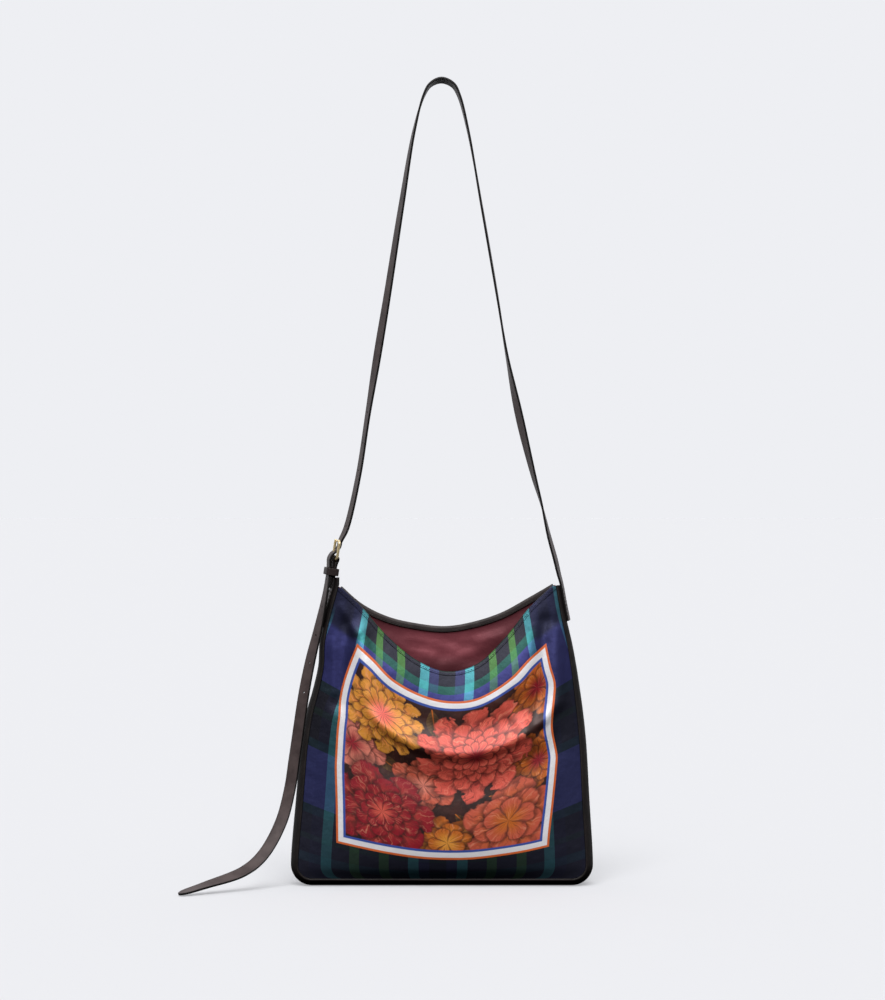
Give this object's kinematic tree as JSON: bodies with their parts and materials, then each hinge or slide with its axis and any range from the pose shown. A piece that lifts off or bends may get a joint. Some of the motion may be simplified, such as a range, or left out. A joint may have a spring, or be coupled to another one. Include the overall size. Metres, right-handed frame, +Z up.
{
  "type": "shoulder bag",
  "caption": "Slim checked satin shoulder bag with a framed floral front, scooped open mouth, tapering leather gusset and a long buckled leather strap with a free tail.",
  "frame": {"origin": "underside of the strap's arch, where the bag hangs", "axes": "+Z up, +X to the right as seen from the front, the printed front faces -Y"},
  "size_m": [0.423, 0.1225, 0.8389],
  "materials": {
    "satin": "glossy checked satin with a framed flower print on the front",
    "lining": "burgundy satin",
    "leather": "dark brown smooth leather, semi-matt",
    "brass": "polished pale brass"
  },
  "bodies": {
    "root": {"front_panel": "satin", "back_panel": "satin", "front_binding": "satin", "lining": "lining", "gusset": "leather", "back_binding": "leather", "strap": "leather", "buckle_tab": "leather", "keeper": "leather", "buckle_frame": "brass", "buckle_prong": "brass"}
  },
  "joints": []
}
